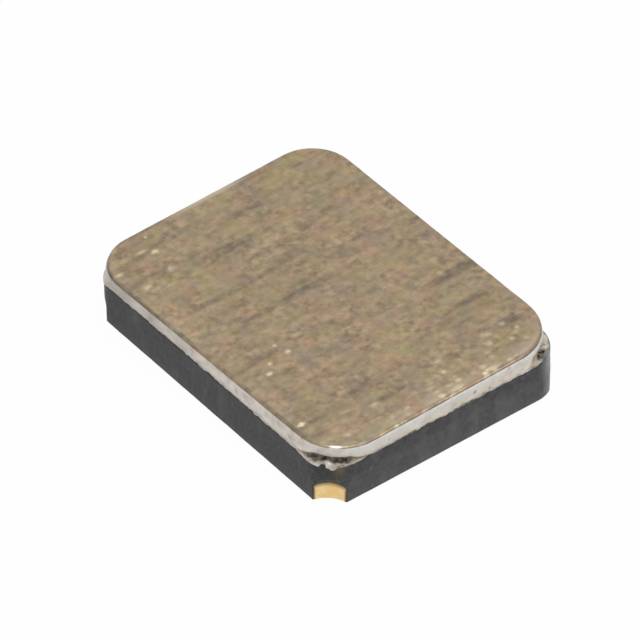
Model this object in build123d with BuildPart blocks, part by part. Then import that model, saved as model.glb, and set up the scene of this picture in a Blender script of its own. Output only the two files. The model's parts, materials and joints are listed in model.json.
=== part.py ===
"""Crystal oscillator in a sealed ceramic surface-mount package, about 2.5 x 2.0 x 0.47 mm.

A co-fired black ceramic base with a stepped cavity holds a flip-chip oscillator die on its floor and a
quartz plate on a shelf above it. A nickel-plated lid is brazed to the metallised rim. Four gold terminals
wrap up the corner notches, which taper out towards the rim. Millimetres, +Z up, origin at the footprint's
centre on the seating plane, +X along the long side.
"""

import os
from math import atan2, degrees, sqrt

from build123d import *

# Ceramic base: three co-fired layers make one piece
body_length = 2.50
body_width = 2.00
notch_radius = 0.16
notch_height = 0.125
notch_top_radius = 0.10
body_corner_radius = 0.225
floor_layer = 0.100
shelf_layer = 0.095
wall_layer = 0.120
rim_width = 0.275
cavity_corner_radius = 0.10
shelf_width = 0.325
pocket_corner_radius = 0.08
ceramic_edge_break = 0.004

# Solder terminals
terminal_length = 0.75
terminal_width = 0.65
terminal_thickness = 0.010
terminal_inset = 0.04
terminal_corner_radius = 0.05
castellation_plating = 0.012
index_chamfer = 0.14

# Lid, which sits slightly off centre and turned
lid_end_setback = -0.0150
lid_side_setback = 0.0145
lid_thickness = 0.080
lid_corner_radius = 0.31
lid_edge_round = 0.018
lid_shift_x = -0.0190
lid_shift_y = -0.019
lid_turn = 1.1

# Seal between rim and lid
rim_metal_thickness = 0.012
rim_metal_setback = 0.020
braze_gap = 0.053
braze_foot_setback = 0.012
braze_corner_reveal = 0.075
braze_bulge_width = 0.020
braze_lip_width = 0.008

# Printed tracks, pads and filled vias
track_thickness = 0.010
track_width = 0.070
track_gap = 0.040
landing_size = 0.120
via_diameter = 0.090
via_collar = 0.020
pad_thickness = 0.010
pad_margin = 0.030

# Oscillator die and its bumps
die_width = 0.750
die_thickness = 0.070
die_end_gap = 0.175
die_side_gap = 0.150
bump_diameter = 0.080
bump_height = 0.015
bump_inset = 0.100
bump_neck_share = 0.80

# Quartz plate, electrodes and adhesive
blank_mount_gap = 0.120
blank_free_gap = 0.280
blank_side_gap = 0.200
blank_thickness = 0.042
electrode_film = 0.003
electrode_length_share = 0.58
electrode_width_share = 0.62
tab_margin = 0.010
adhesive_bond = 0.018
adhesive_cap = 0.012
adhesive_margin = 0.010
adhesive_crown_share = 0.62
adhesive_shoulder_share = 0.92
adhesive_shoulder_height_share = 0.60

# Levels above the seating plane
ceramic_bottom = terminal_thickness
notch_top = ceramic_bottom + notch_height
floor_top = ceramic_bottom + floor_layer
shelf_top = floor_top + shelf_layer
ceramic_top = shelf_top + wall_layer
track_top = floor_top + track_thickness
die_bottom = track_top + bump_height
pad_top = shelf_top + pad_thickness
film_bottom = pad_top + adhesive_bond
blank_bottom = film_bottom + electrode_film
blank_top = blank_bottom + blank_thickness
film_top = blank_top + electrode_film
rim_top = ceramic_top + rim_metal_thickness
lid_bottom = rim_top + braze_gap
braze_top = lid_bottom + lid_thickness - lid_edge_round

# Plan sizes that follow from the driving ones
cavity_length = body_length - 2 * rim_width
cavity_width = body_width - 2 * rim_width
pocket_length = cavity_length - 2 * shelf_width
pocket_width = die_width + 2 * die_side_gap
lid_length = body_length - 2 * lid_end_setback
lid_width = body_width - 2 * lid_side_setback
die_length = pocket_length - 2 * die_end_gap
blank_length = cavity_length - blank_mount_gap - blank_free_gap
blank_width = cavity_width - 2 * blank_side_gap
blank_end = blank_mount_gap - cavity_length / 2
blank_centre = blank_end + blank_length / 2

# Where the tracks, vias and pads lie
bump_x = die_length / 2 - bump_inset
bump_y = die_width / 2 - bump_inset
via_margin = (index_chamfer + sqrt(2) * (via_diameter / 2 + via_collar)) / 2
via_x = body_length / 2 - terminal_inset - terminal_length + via_margin
via_y = body_width / 2 - terminal_inset - terminal_width + via_margin
crystal_run_y = bump_y - landing_size / 2 - track_gap - track_width / 2
pad_length = shelf_width - 2 * pad_margin
pad_x = (shelf_width - cavity_length) / 2
pad_inner_y = crystal_run_y - via_diameter / 2 - pad_margin
pad_outer_y = blank_width / 2 - pad_margin
pad_y = (pad_inner_y + pad_outer_y) / 2
adhesive_radius = pad_length / 2 - adhesive_margin
tab_width = 2 * (adhesive_radius + tab_margin)
contact_length = pad_x + adhesive_radius + tab_margin - blank_end + electrode_film

# Corner of each outside connection, as signs along X and Y
corner_signs = {
    "enable": (-1, -1),
    "ground": (1, -1),
    "output": (1, 1),
    "supply": (-1, 1),
}
# Side of each connection to the quartz plate, as a sign along Y
crystal_signs = {"crystal_in": 1, "crystal_out": -1}

body_corners = [(x * body_length / 2, y * body_width / 2) for x, y in corner_signs.values()]


def make_via(place, bottom, top):
    """A filled round via between two levels."""
    with BuildPart() as via:
        with BuildSketch(Plane.XY.offset(bottom)):
            with Locations(place):
                Circle(via_diameter / 2)
        extrude(amount=top - bottom)
    return via.part


def make_track(points):
    """A printed track on the cavity floor: a square landing, straight runs and a round via pad."""
    with BuildPart() as track:
        with BuildSketch(Plane.XY.offset(floor_top)):
            with Locations(points[0]):
                Rectangle(landing_size, landing_size)
            for start, end in zip(points, points[1:]):
                run = Vector(*end) - Vector(*start)
                middle = (Vector(*start) + Vector(*end)) / 2
                with Locations((middle.X, middle.Y)):
                    SlotCenterToCenter(run.length, track_width, rotation=degrees(atan2(run.Y, run.X)))
            with Locations(points[-1]):
                Circle(via_diameter / 2 + via_collar)
        extrude(amount=track_thickness)
    return track.part


def make_bump(place):
    """A squashed gold bump between a landing and the die, turned with a barrelled side."""
    radius = bump_diameter / 2
    neck = bump_neck_share * radius
    with BuildPart() as bump:
        with BuildSketch(Plane((place[0], place[1], track_top), x_dir=(1, 0, 0), z_dir=(0, -1, 0))):
            with BuildLine():
                side = [(neck, 0), (radius, bump_height / 2), (neck, bump_height)]
                Polyline((0, 0), *side, (0, bump_height), close=True)
            make_face()
        revolve(axis=Axis((place[0], place[1], 0), (0, 0, 1)))
    return bump.part


def make_terminal(sign_x, sign_y, is_first):
    """A solder pad under one corner, with plating up the wall of that corner's notch."""
    corner = (sign_x * body_length / 2, sign_y * body_width / 2)
    pad_centre = (
        corner[0] - sign_x * (terminal_inset + terminal_length / 2),
        corner[1] - sign_y * (terminal_inset + terminal_width / 2),
    )
    with BuildPart() as terminal:
        with BuildSketch() as pad:
            with Locations(pad_centre):
                Rectangle(terminal_length, terminal_width)
            inner = pad.vertices().sort_by_distance((0, 0, 0))
            if is_first:
                chamfer(inner[0], index_chamfer)
            else:
                fillet(inner[0], terminal_corner_radius)
            with Locations(corner):
                Circle(notch_radius - castellation_plating, mode=Mode.SUBTRACT)
        extrude(amount=terminal_thickness)
        with BuildSketch():
            with Locations(corner):
                Circle(notch_radius)
                Circle(notch_radius - castellation_plating, mode=Mode.SUBTRACT)
            RectangleRounded(body_length, body_width, body_corner_radius, mode=Mode.INTERSECT)
        extrude(amount=terminal_thickness + notch_height)
    return terminal.part


def make_electrode(side, main_level):
    """A film electrode: the main patch at one face, and a tab that wraps round the plate's mounted end."""
    tab_y = side * pad_y
    patch_length = electrode_length_share * blank_length
    patch_width = electrode_width_share * blank_width
    tab_length = blank_length / 2
    with BuildPart() as electrode:
        with BuildSketch(Plane.XY.offset(main_level)):
            with Locations((blank_centre, 0)):
                Rectangle(patch_length, patch_width)
            with Locations((blank_end - electrode_film, tab_y)):
                Rectangle(tab_length, tab_width, align=(Align.MIN, Align.CENTER))
        extrude(amount=electrode_film)
        with BuildSketch(Plane.XY.offset(film_bottom)):
            with Locations((blank_end - electrode_film, tab_y)):
                Rectangle(electrode_film, tab_width, align=(Align.MIN, Align.CENTER))
        extrude(amount=film_top - film_bottom)
        for level in (film_bottom, blank_top):
            with BuildSketch(Plane.XY.offset(level)):
                with Locations((blank_end - electrode_film, tab_y)):
                    Rectangle(contact_length, tab_width, align=(Align.MIN, Align.CENTER))
            extrude(amount=electrode_film)
    return electrode.part


def make_crystal_pad(side):
    """A plated pad on the shelf, under one corner of the quartz plate."""
    with BuildPart() as pad:
        with BuildSketch(Plane.XY.offset(shelf_top)):
            with Locations((pad_x, side * pad_y)):
                Rectangle(pad_length, pad_outer_y - pad_inner_y)
        extrude(amount=pad_thickness)
    return pad.part


def make_adhesive(side):
    """A domed dot of conductive adhesive, moulded round the tab at the mounted end of the plate."""
    dome_height = film_top - pad_top + adhesive_cap
    crown = (adhesive_crown_share * adhesive_radius, dome_height)
    shoulder = (adhesive_shoulder_share * adhesive_radius, adhesive_shoulder_height_share * dome_height)
    dome_plane = Plane((pad_x, side * pad_y, pad_top), x_dir=(1, 0, 0), z_dir=(0, -1, 0))
    with BuildPart() as adhesive:
        with BuildSketch(dome_plane):
            with BuildLine():
                Polyline((adhesive_radius, 0), (0, 0), (0, dome_height), crown)
                ThreePointArc(crown, shoulder, (adhesive_radius, 0))
            make_face()
        revolve(axis=Axis((pad_x, side * pad_y, 0), (0, 0, 1)))
        with BuildSketch(Plane.XY.offset(film_bottom)):
            with Locations((blank_end - electrode_film, side * pad_y)):
                Rectangle(contact_length, tab_width, align=(Align.MIN, Align.CENTER))
        extrude(amount=film_top - film_bottom, mode=Mode.SUBTRACT)
    return adhesive.part


# Solder terminals, filled vias, tracks and bumps of the four outside connections
pieces = {}
for net, (sign_x, sign_y) in corner_signs.items():
    bump_place = (sign_x * bump_x, sign_y * bump_y)
    via_place = (sign_x * via_x, sign_y * via_y)
    pieces[f"terminal_{net}"] = make_terminal(sign_x, sign_y, net == "enable")
    pieces[f"via_{net}"] = make_via(via_place, ceramic_bottom, floor_top)
    pieces[f"track_{net}"] = make_track([bump_place, via_place])
    pieces[f"bump_{net}"] = make_bump(bump_place)

# Tracks, vias, bumps and shelf pads of the two connections to the quartz plate
for net, sign_y in crystal_signs.items():
    bump_place = (0, sign_y * bump_y)
    turn_place = (0, sign_y * crystal_run_y)
    via_place = (pad_x, sign_y * crystal_run_y)
    pieces[f"track_{net}"] = make_track([bump_place, turn_place, via_place])
    pieces[f"via_{net}"] = make_via(via_place, track_top, shelf_top)
    pieces[f"bump_{net}"] = make_bump(bump_place)
    pieces[f"pad_{net}"] = make_crystal_pad(sign_y)

# The lid is earthed through a via in the wall above the ground terminal
lid_via_x = body_length / 2 - rim_width / 2
lid_via_y = terminal_inset + terminal_width / 2 - body_width / 2
pieces["via_lid_ground"] = make_via((lid_via_x, lid_via_y), ceramic_bottom, ceramic_top)

# Ceramic base: rounded block, notched corners, stepped cavity, and room for the buried tracks and vias
buried = [piece for name, piece in pieces.items() if name.startswith(("via_", "track_"))]
with BuildPart() as ceramic_base:
    with BuildSketch(Plane.XY.offset(ceramic_bottom)):
        RectangleRounded(body_length, body_width, body_corner_radius)
    extrude(amount=ceramic_top - ceramic_bottom)
    for corner in body_corners:
        with BuildSketch(Plane.XY.offset(ceramic_bottom)):
            with Locations(corner):
                Circle(notch_radius)
        extrude(amount=notch_height, mode=Mode.SUBTRACT)
        for level, radius in ((notch_top, notch_radius), (ceramic_top, notch_top_radius)):
            with BuildSketch(Plane.XY.offset(level)):
                with Locations(corner):
                    Circle(radius)
        loft(ruled=True, mode=Mode.SUBTRACT)
    chamfer(ceramic_base.faces().sort_by(Axis.Z)[0].edges(), ceramic_edge_break)
    with BuildSketch(Plane.XY.offset(shelf_top)):
        RectangleRounded(cavity_length, cavity_width, cavity_corner_radius)
    extrude(amount=wall_layer, mode=Mode.SUBTRACT)
    with BuildSketch(Plane.XY.offset(floor_top)):
        RectangleRounded(pocket_length, pocket_width, pocket_corner_radius)
    extrude(amount=shelf_layer, mode=Mode.SUBTRACT)
    for conductor in buried:
        add(conductor, mode=Mode.SUBTRACT)
pieces["ceramic_base"] = ceramic_base.part

# Metallised frame printed on the rim
seal_inner_length = cavity_length + 2 * rim_metal_setback
seal_inner_width = cavity_width + 2 * rim_metal_setback
seal_inner_radius = cavity_corner_radius + rim_metal_setback
with BuildPart() as rim_metallisation:
    with BuildSketch(Plane.XY.offset(ceramic_top)):
        RectangleRounded(body_length, body_width, body_corner_radius)
        RectangleRounded(seal_inner_length, seal_inner_width, seal_inner_radius, mode=Mode.SUBTRACT)
    extrude(amount=rim_metal_thickness)
pieces["rim_metallisation"] = rim_metallisation.part


def lid_plane(level):
    """The lid's own plane at a level: shifted and turned as the lid sits."""
    return Plane(Location((lid_shift_x, lid_shift_y, level), (0, 0, lid_turn)))


# Lid: a thin plate with rounded corners and a rounded lip
with BuildPart() as lid:
    with BuildSketch(lid_plane(lid_bottom)):
        RectangleRounded(lid_length, lid_width, lid_corner_radius)
    extrude(amount=lid_thickness)
    fillet(lid.faces().sort_by(Axis.Z)[-1].edges(), lid_edge_round)
pieces["lid"] = lid.part

# Braze frame: a foot that leaves the rim's corners bare, a bulge below the lid and a thin lip up its edge
foot_length = body_length - 2 * braze_foot_setback
foot_width = body_width - 2 * braze_foot_setback
foot_radius = body_corner_radius + (braze_corner_reveal - sqrt(2) * braze_foot_setback) / (sqrt(2) - 1)
with BuildPart() as seal_braze:
    with BuildSketch(Plane.XY.offset(rim_top)):
        RectangleRounded(foot_length, foot_width, foot_radius)
    for level, spread in ((lid_bottom, braze_bulge_width), (braze_top, braze_lip_width)):
        with BuildSketch(lid_plane(level)):
            RectangleRounded(lid_length + 2 * spread, lid_width + 2 * spread, lid_corner_radius + spread)
    loft(ruled=True)
    with BuildSketch(Plane.XY.offset(rim_top)):
        RectangleRounded(seal_inner_length, seal_inner_width, seal_inner_radius)
    extrude(amount=braze_gap, mode=Mode.SUBTRACT)
    add(lid.part, mode=Mode.SUBTRACT)
pieces["seal_braze"] = seal_braze.part

# Oscillator die, face down on its bumps
with BuildPart() as oscillator_die:
    with BuildSketch(Plane.XY.offset(die_bottom)):
        Rectangle(die_length, die_width)
    extrude(amount=die_thickness)
pieces["oscillator_die"] = oscillator_die.part

# Quartz plate with its two film electrodes, held at one end by two adhesive dots
with BuildPart() as crystal_blank:
    with BuildSketch(Plane.XY.offset(blank_bottom)):
        with Locations((blank_centre, 0)):
            Rectangle(blank_length, blank_width)
    extrude(amount=blank_thickness)
pieces["crystal_blank"] = crystal_blank.part
pieces["electrode_top"] = make_electrode(crystal_signs["crystal_in"], blank_top)
pieces["electrode_bottom"] = make_electrode(crystal_signs["crystal_out"], film_bottom)
for net, sign_y in crystal_signs.items():
    pieces[f"adhesive_{net}"] = make_adhesive(sign_y)

os.makedirs("parts", exist_ok=True)
for name, piece in pieces.items():
    piece.label = name
    export_step(piece, f"parts/{name}.step")
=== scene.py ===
# %% [markdown]
# # A crystal oscillator in a ceramic package
#
# The part is a sealed ceramic box about 2.5 x 2.0 x 0.47 mm. A dark ceramic base carries a silver-white
# seal band and a thin metal lid, and gold plating climbs the notch at each corner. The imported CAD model
# is loaded first as a fixed frame. It is meshed coarsely for its size, so the pieces that show are made
# again here with fine meshes of the same form, and the hidden inner pieces keep their CAD meshes.

import json
from math import cos, pi, radians, sin

import bpy
import numpy as np
from mathutils import Matrix, Vector, noise


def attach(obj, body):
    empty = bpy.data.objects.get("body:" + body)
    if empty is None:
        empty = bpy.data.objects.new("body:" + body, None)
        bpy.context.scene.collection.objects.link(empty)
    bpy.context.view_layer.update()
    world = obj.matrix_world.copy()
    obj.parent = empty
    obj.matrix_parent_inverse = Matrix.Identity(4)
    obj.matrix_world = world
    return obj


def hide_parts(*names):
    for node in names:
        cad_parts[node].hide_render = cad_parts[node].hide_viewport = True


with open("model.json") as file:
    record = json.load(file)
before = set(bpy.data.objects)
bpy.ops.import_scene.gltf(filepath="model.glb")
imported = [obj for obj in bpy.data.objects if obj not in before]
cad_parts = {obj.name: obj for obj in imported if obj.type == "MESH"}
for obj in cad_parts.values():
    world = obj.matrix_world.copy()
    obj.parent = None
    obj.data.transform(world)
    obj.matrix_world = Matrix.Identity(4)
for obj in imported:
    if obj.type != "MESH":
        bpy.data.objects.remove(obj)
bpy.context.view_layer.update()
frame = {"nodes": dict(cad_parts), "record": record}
MM = 0.001

# %% [markdown]
# ## Camera
#
# The photograph was taken from about 42 degrees above, looking at one corner, with a long lens. A camera
# could be aimed with a Track To constraint, but the small roll of the picture would be lost. Its three
# axes are worked out instead, and set as one matrix. The part is tiny, so the near clip is small too.

# %% Aim the camera
IMAGE_WIDTH = 640
AZIMUTH, ELEVATION, ROLL = radians(51.15), radians(41.99), radians(0.726)
DISTANCE = 75.59 * MM
SENSOR_WIDTH, FOCAL_PIXELS = 36, 11475.0
# Where the part's origin lies in the picture, in pixels from its middle
ORIGIN_RIGHT, ORIGIN_DOWN = 8.9, 28.8

back = Vector((sin(AZIMUTH) * cos(ELEVATION), -cos(AZIMUTH) * cos(ELEVATION), sin(ELEVATION)))
level_right = Vector((cos(AZIMUTH), sin(AZIMUTH), 0))
level_up = back.cross(level_right)
right = cos(ROLL) * level_right + sin(ROLL) * level_up
up = cos(ROLL) * level_up - sin(ROLL) * level_right
target = (ORIGIN_DOWN * up - ORIGIN_RIGHT * right) * (DISTANCE / FOCAL_PIXELS)

camera = bpy.data.objects.new("camera", bpy.data.cameras.new("camera"))
bpy.context.scene.collection.objects.link(camera)
turned = Matrix((right, up, back)).transposed().to_4x4()
camera.matrix_world = Matrix.Translation(target + back * DISTANCE) @ turned
camera.data.sensor_width = SENSOR_WIDTH
camera.data.lens = FOCAL_PIXELS / IMAGE_WIDTH * SENSOR_WIDTH
camera.data.clip_start, camera.data.clip_end = 1 * MM, 1000 * MM
bpy.context.scene.camera = camera
print("camera lens in mm:", round(camera.data.lens, 1))

# %% [markdown]
# ## Small helpers for node trees
#
# Every material here is a tree of shader nodes. Adding a node, setting its values and linking its inputs
# takes many lines each time, so one helper does all three: an input that is a socket is linked, and any
# other input is set.

# %% Node helpers
def put(tree, kind, inputs=(), **settings):
    """Adds a node, applies its settings, then sets or links each input."""
    made = tree.nodes.new(kind)
    for name, value in settings.items():
        setattr(made, name, value)
    for key, value in dict(inputs).items():
        if isinstance(value, bpy.types.NodeSocket):
            tree.links.new(value, made.inputs[key])
        else:
            made.inputs[key].default_value = value
    return made


def reckon(tree, operation, first, second=0.0):
    """One Math node, as a socket. Its result stays between 0 and 1."""
    made = put(tree, "ShaderNodeMath", {0: first, 1: second}, operation=operation, use_clamp=True)
    return made.outputs[0]


def times(tree, first, second):
    """One mask times another, or times a number."""
    return reckon(tree, "MULTIPLY", first, second)


def tint(tree, mask, colour, other):
    """Goes from one colour to the other as the mask goes from 0 to 1."""
    return put(tree, "ShaderNodeMix", {0: mask, 6: colour, 7: other}, data_type="RGBA").outputs[2]


def between(tree, mask, low, high):
    """Spreads a mask over a range of values, such as roughness."""
    return put(tree, "ShaderNodeMapRange", {0: mask, 3: low, 4: high}).outputs[0]


print("node helpers ready")

# %% [markdown]
# ## Floor, surroundings and lamps
#
# The photograph is a cut-out on white. The floor and the world show plain white to the camera and in
# reflections, through the Light Path node, and light the part at an ordinary level otherwise. The floor
# keeps a little of its own shading, so that a soft contact shadow stays under the part. A strong lamp
# overhead and a weaker one at the right shape the edges.

# %% White floor and world
def seen_directly(tree):
    """1 for camera, glossy and transmission rays, and 0 for the rays that carry light."""
    path = put(tree, "ShaderNodeLightPath")
    both = reckon(tree, "MAXIMUM", path.outputs["Is Camera Ray"], path.outputs["Is Glossy Ray"])
    return reckon(tree, "MAXIMUM", both, path.outputs["Is Transmission Ray"])


FLOOR_HALF, FLOOR_DROP = 60 * MM, 0.002 * MM
FLOOR_WHITENESS, FLOOR_GREY = 0.97, (0.86, 0.86, 0.86, 1)
AMBIENT = 0.62
WHITE = (1, 1, 1, 1)

floor_mesh = bpy.data.meshes.new("floor")
floor_signs = ((-1, -1), (1, -1), (1, 1), (-1, 1))
floor_corners = [(sx * FLOOR_HALF, sy * FLOOR_HALF, -FLOOR_DROP) for sx, sy in floor_signs]
floor_mesh.from_pydata(floor_corners, [], [(0, 1, 2, 3)])
floor = bpy.data.objects.new("floor", floor_mesh)
bpy.context.scene.collection.objects.link(floor)

paper = bpy.data.materials.new("white_paper")
paper.use_nodes = True
tree = paper.node_tree
tree.nodes.clear()
matte = put(tree, "ShaderNodeBsdfDiffuse", {"Color": FLOOR_GREY})
bright = put(tree, "ShaderNodeEmission", {"Color": WHITE, "Strength": 1.0})
share = put(tree, "ShaderNodeMath", {0: seen_directly(tree), 1: FLOOR_WHITENESS}, operation="MULTIPLY")
inputs = {0: share.outputs[0], 1: matte.outputs[0], 2: bright.outputs[0]}
mixed = put(tree, "ShaderNodeMixShader", inputs)
put(tree, "ShaderNodeOutputMaterial", {"Surface": mixed.outputs[0]})
floor_mesh.materials.append(paper)

world = bpy.data.worlds.new("studio")
bpy.context.scene.world = world
world.use_nodes = True
tree = world.node_tree
strength = between(tree, seen_directly(tree), AMBIENT, 1.0)
tree.links.new(strength, tree.nodes["Background"].inputs["Strength"])
tree.nodes["Background"].inputs["Color"].default_value = WHITE
print("floor and world are white to the camera, ambient level", AMBIENT)

# %% Lamps
def add_lamp(name, direction, distance, size, power):
    """A square area lamp at a distance from the part, facing it. Distance and size are in mm."""
    lamp = bpy.data.objects.new(name, bpy.data.lights.new(name, "AREA"))
    bpy.context.scene.collection.objects.link(lamp)
    lamp.location = Vector(direction).normalized() * distance * MM
    lamp.rotation_euler = Vector(direction).to_track_quat("Z", "Y").to_euler()
    lamp.data.size = size * MM
    lamp.data.energy = power


# Each lamp: its direction from the part, its distance and size in mm, and its power in watts
LAMPS = {
    "overhead_lamp": ((0.25, -0.10, 0.95), 14, 4.5, 5.0e-4),
    "right_lamp": ((0.80, 0.45, 0.30), 14, 6, 2.6e-4),
}
for name, setting in LAMPS.items():
    add_lamp(name, *setting)
bpy.context.scene.view_settings.view_transform = "Standard"
print("lamps placed:", len(LAMPS))

# %% [markdown]
# ## Shared surface effects
#
# Two effects come back in nearly every finish. The first is grain: soft noise that is measured in
# millimetres and can be stretched, so it gives speckle, mottling or rolling streaks. The second is
# specks: separate small dots, such as pits in the seal or bright flakes on the lid. Each is a node group
# with named inputs, so every material uses the same one with its own values. A short helper puts each
# group into a material, and another one turns a mask into a bump.

# %% Grain and speck groups
def new_group(name, inputs, outputs):
    """An empty shader node group with named sockets, with its input and output nodes."""
    group = bpy.data.node_groups.new(name, "ShaderNodeTree")
    for title, kind, value in inputs:
        group.interface.new_socket(title, in_out="INPUT", socket_type=kind).default_value = value
    for title in outputs:
        group.interface.new_socket(title, in_out="OUTPUT", socket_type="NodeSocketFloat")
    return group, group.nodes.new("NodeGroupInput").outputs, group.nodes.new("NodeGroupOutput").inputs


def place_in_mm(group, per_mm):
    """Surface position in millimetres, times a number of cells per millimetre along each axis."""
    here = put(group, "ShaderNodeTexCoord").outputs["Object"]
    scaled = put(group, "ShaderNodeVectorMath", {0: here, 3: 1 / MM}, operation="SCALE").outputs[0]
    return put(group, "ShaderNodeVectorMath", {0: scaled, 1: per_mm}, operation="MULTIPLY").outputs[0]


grain_group, given, result = new_group(
    "grain",
    [
        ("Cells per mm", "NodeSocketVector", (20, 20, 20)),
        ("Detail", "NodeSocketFloat", 2.0),
        ("Low", "NodeSocketFloat", 0.3),
        ("High", "NodeSocketFloat", 0.7),
    ],
    ["Mask"],
)
cells = place_in_mm(grain_group, given["Cells per mm"])
soft = put(grain_group, "ShaderNodeTexNoise", {"Vector": cells, "Scale": 1.0, "Detail": given["Detail"]})
spread = put(grain_group, "ShaderNodeMapRange", {0: soft.outputs[0], 1: given["Low"], 2: given["High"]})
grain_group.links.new(spread.outputs[0], result["Mask"])

speck_group, given, result = new_group(
    "specks",
    [
        ("Cells per mm", "NodeSocketVector", (20, 20, 20)),
        ("Size", "NodeSocketFloat", 0.3),
        ("Share", "NodeSocketFloat", 0.1),
    ],
    ["Mask"],
)
cells = place_in_mm(speck_group, given["Cells per mm"])
dots = put(speck_group, "ShaderNodeTexVoronoi", {"Vector": cells, "Scale": 1.0})
dot = put(speck_group, "ShaderNodeMapRange", {0: dots.outputs["Distance"], 1: given["Size"], 2: 0.0})
luck = put(speck_group, "ShaderNodeSeparateColor", {0: dots.outputs["Color"]}).outputs[0]
chosen = put(speck_group, "ShaderNodeMath", {0: luck, 1: given["Share"]}, operation="LESS_THAN")
speck_group.links.new(times(speck_group, dot.outputs[0], chosen.outputs[0]), result["Mask"])
print("groups:", grain_group.name, speck_group.name)

# %% Short ways to use the groups
def per_axis(cells):
    """The same number of cells along all three axes, unless three numbers are given."""
    return (cells,) * 3 if isinstance(cells, (int, float)) else cells


def grain(tree, cells_per_mm, low=0.3, high=0.7, detail=2.0):
    """A grain mask in a material."""
    values = {"Cells per mm": per_axis(cells_per_mm), "Detail": detail, "Low": low, "High": high}
    return put(tree, "ShaderNodeGroup", values, node_tree=grain_group).outputs["Mask"]


def specks(tree, cells_per_mm, size, share):
    """A mask of separate dots in a material."""
    values = {"Cells per mm": per_axis(cells_per_mm), "Size": size, "Share": share}
    return put(tree, "ShaderNodeGroup", values, node_tree=speck_group).outputs["Mask"]


def vertex_mask(tree, name):
    """A mask that the mesh carries at its points."""
    return put(tree, "ShaderNodeAttribute", attribute_name=name).outputs["Fac"]


def start_finish(name, roughness, metallic=0.0):
    """A new material with its Principled shader."""
    material = bpy.data.materials.new(name)
    material.use_nodes = True
    shader = material.node_tree.nodes["Principled BSDF"]
    shader.inputs["Roughness"].default_value = roughness
    shader.inputs["Metallic"].default_value = metallic
    return material, material.node_tree, shader


def relief(tree, shader, height, depth):
    """Lets a mask bend the shading. Depth is in micrometres."""
    bump = put(tree, "ShaderNodeBump", {"Height": height, "Strength": 1.0, "Distance": depth * MM ** 2})
    tree.links.new(bump.outputs[0], shader.inputs["Normal"])


print("finish helpers ready")

# %% [markdown]
# ## Rings of points
#
# The body, the band and the lid all follow a rectangle with rounded corners. A fine mesh of each could
# come from bevel modifiers, but then the bands could not be made uneven point by point. So each piece is
# a stack of rings with the same number of points, and quads join each ring to the next. A stack may close
# on itself, or end in a cap of narrow strips from one long side to the other.

# %% Rings and shells
CORNER_SIGNS = {"front": (1, -1), "right": (1, 1), "rear": (-1, 1), "left": (-1, -1)}
CORNER_STEPS, SIDE_STEPS = 56, 110
RING_COUNT = 4 * (CORNER_STEPS + SIDE_STEPS)


def rounded_ring(length, width, radii):
    """Points round a rectangle with rounded corners, counter-clockwise from the front corner, in mm."""
    radii = (radii,) * 4 if isinstance(radii, float) else radii
    arcs = []
    for k, (sx, sy) in enumerate(CORNER_SIGNS.values()):
        turn = radians(90 * k - 90) + np.linspace(0, pi / 2, CORNER_STEPS + 1)
        centre = np.array((sx * (length / 2 - radii[k]), sy * (width / 2 - radii[k])))
        arcs.append(centre + radii[k] * np.column_stack((np.cos(turn), np.sin(turn))))
    ring = []
    for k, arc in enumerate(arcs):
        ring += [arc, np.linspace(arc[-1], arcs[(k + 1) % 4][0], SIDE_STEPS + 1)[1:-1]]
    return np.vstack(ring)


def outward(ring):
    """Unit directions that point out of a ring."""
    along = np.roll(ring, -1, axis=0) - np.roll(ring, 1, axis=0)
    out = np.column_stack((along[:, 1], -along[:, 0]))
    return out / np.linalg.norm(out, axis=1, keepdims=True)


def at_level(ring, level):
    """Gives a flat ring its height, which may differ from point to point."""
    return np.column_stack((ring, np.broadcast_to(level, len(ring))))


def ripple(points, waves_per_mm, start):
    """Smooth unevenness between about -1 and 1 at points in mm."""
    shift = Vector((start, -start, 0.5 * start))
    return np.array([noise.noise(Vector(p) * waves_per_mm + shift) for p in points])


def waves(points, parts):
    """Adds up ripples. Each part is a height, a number of waves per millimetre and a start."""
    return sum(tall * ripple(points, per_mm, start) for tall, per_mm, start in parts)


def ramp(values, start, end):
    """Goes from 0 to 1 as the values go from start to end, and stays level outside."""
    return np.clip((values - start) / (end - start), 0, 1)


def close_to(ring, place, reach):
    """1 at the points of a ring near a place, and 0 away from it."""
    return np.exp(-((np.linalg.norm(ring - np.array(place), axis=1) / reach) ** 4))


print("points in a ring:", RING_COUNT)

# %% Meshes from rings
def cap_faces(first):
    """Strips that close a ring whose first point has this number, from one long side to the other."""
    middle = CORNER_STEPS + SIDE_STEPS // 2
    near = [first + (middle - j) % RING_COUNT for j in range(RING_COUNT // 2 + 1)]
    far = [first + (middle + j) % RING_COUNT for j in range(RING_COUNT // 2 + 1)]
    faces = []
    for j in range(RING_COUNT // 2):
        face = [near[j], near[j + 1], far[j + 1], far[j]]
        faces.append(list(dict.fromkeys(face)))
    return faces


def add_piece(name, points, faces, finish, masks=None, smooth_angle=40):
    """Links a mesh made of points in mm, with its finish and point masks."""
    mesh = bpy.data.meshes.new(name)
    mesh.from_pydata((np.asarray(points) * MM).tolist(), [], faces)
    mesh.validate()
    for title, values in (masks or {}).items():
        mesh.attributes.new(title, "FLOAT", "POINT").data.foreach_set("value", values)
    mesh.shade_smooth()
    mesh.set_sharp_from_angle(angle=radians(smooth_angle))
    mesh.materials.append(finish)
    piece = bpy.data.objects.new(name, mesh)
    bpy.context.scene.collection.objects.link(piece)
    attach(piece, "root")
    print(name, "has", len(mesh.polygons), "faces")
    return piece


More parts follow.
